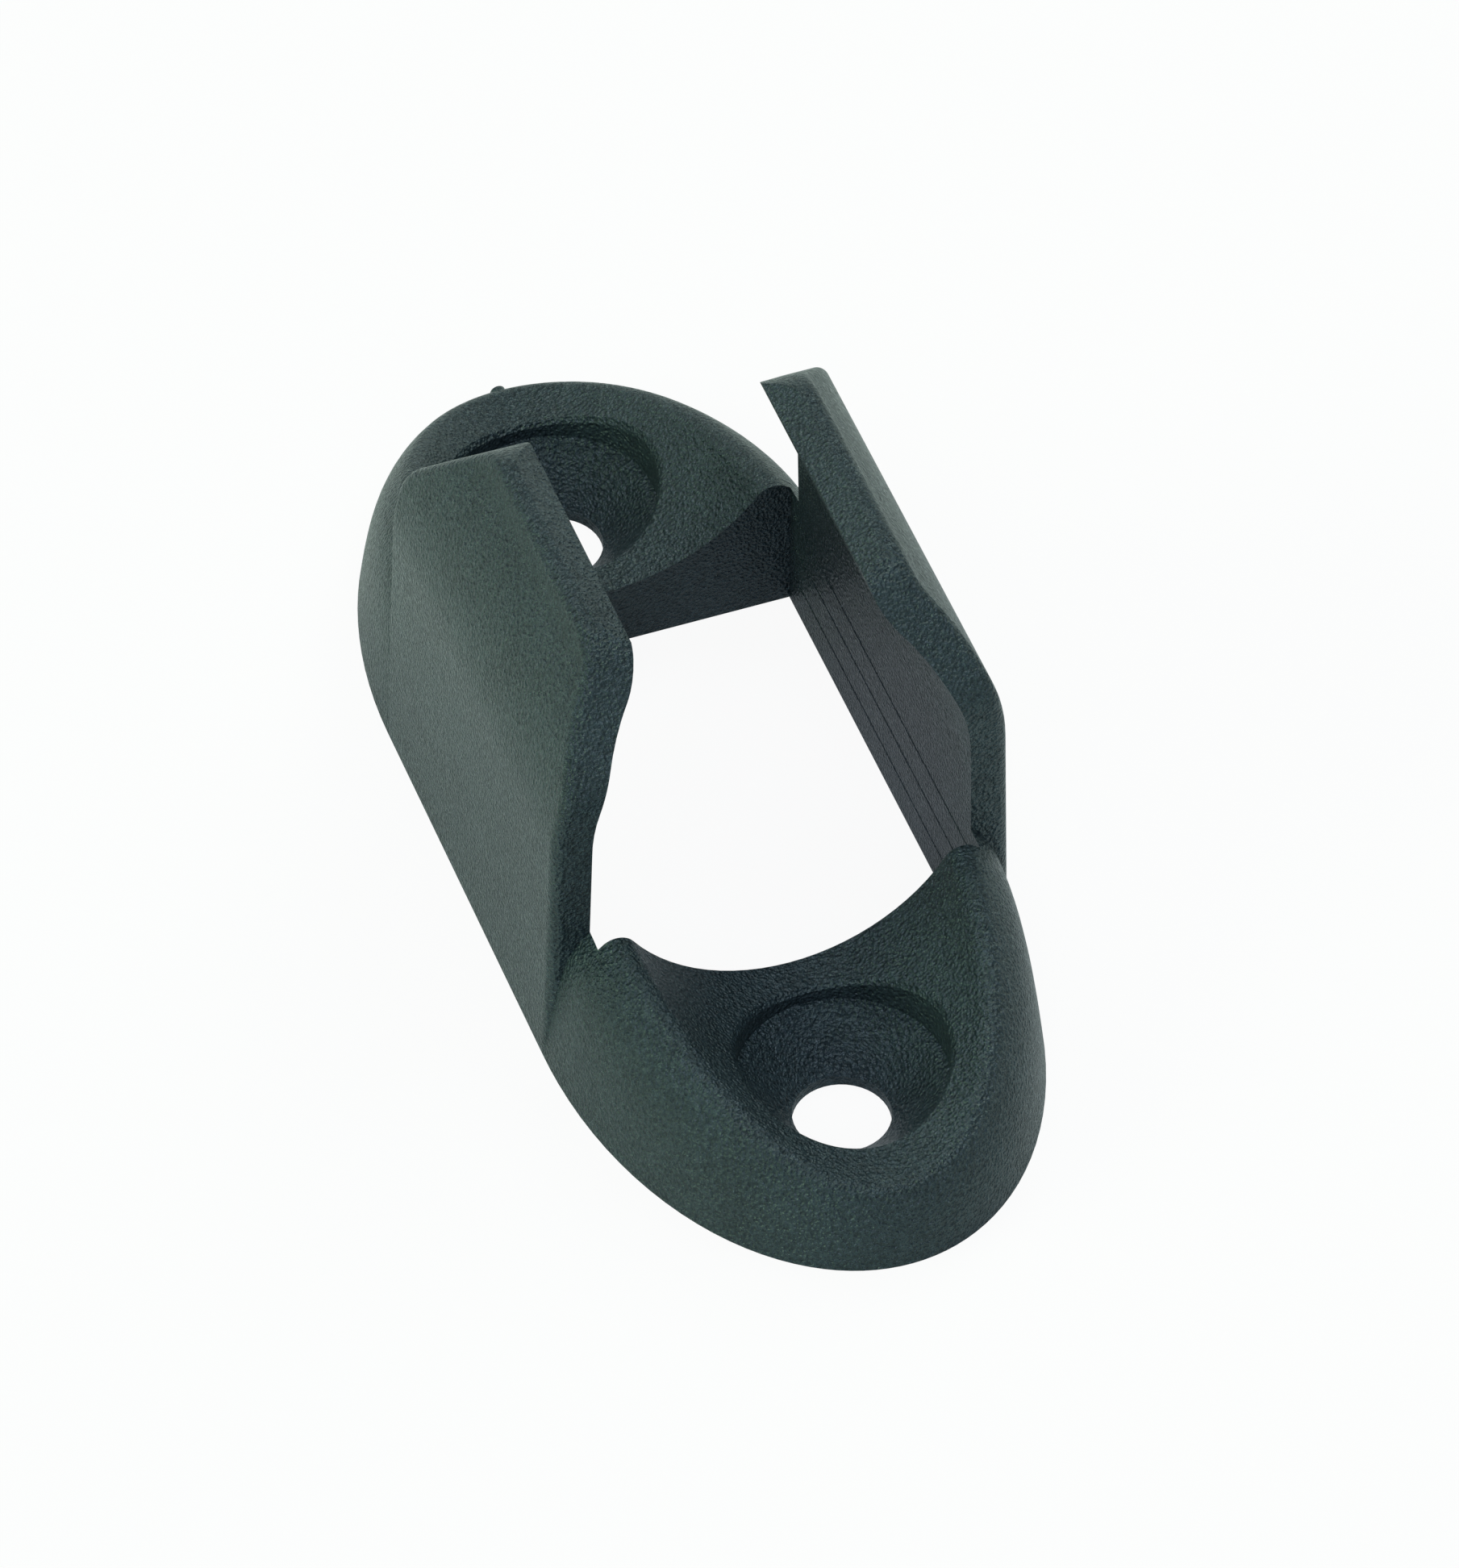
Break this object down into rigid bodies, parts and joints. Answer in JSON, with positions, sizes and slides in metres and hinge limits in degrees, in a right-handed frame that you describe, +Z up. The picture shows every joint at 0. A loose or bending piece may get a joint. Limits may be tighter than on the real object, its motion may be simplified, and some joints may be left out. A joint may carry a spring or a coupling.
{
  "type": "tiller lock clip",
  "caption": "Moulded snap clip on a long rounded base: sprung jaws with turned-up lips hold a round tube; the ends have countersunk screw holes and the middle is open.",
  "frame": {"origin": "middle of the clip's footprint, on the flat underside", "axes": "+Y along the held tube and the clip's length, +Z up out of the jaws' mouth, +X across the jaws"},
  "size_m": [0.0274, 0.0684, 0.0262],
  "materials": {
    "charcoal_plastic": "fine spark-eroded grain, satin"
  },
  "bodies": {
    "root": {"clip_body": "charcoal_plastic"}
  },
  "joints": []
}
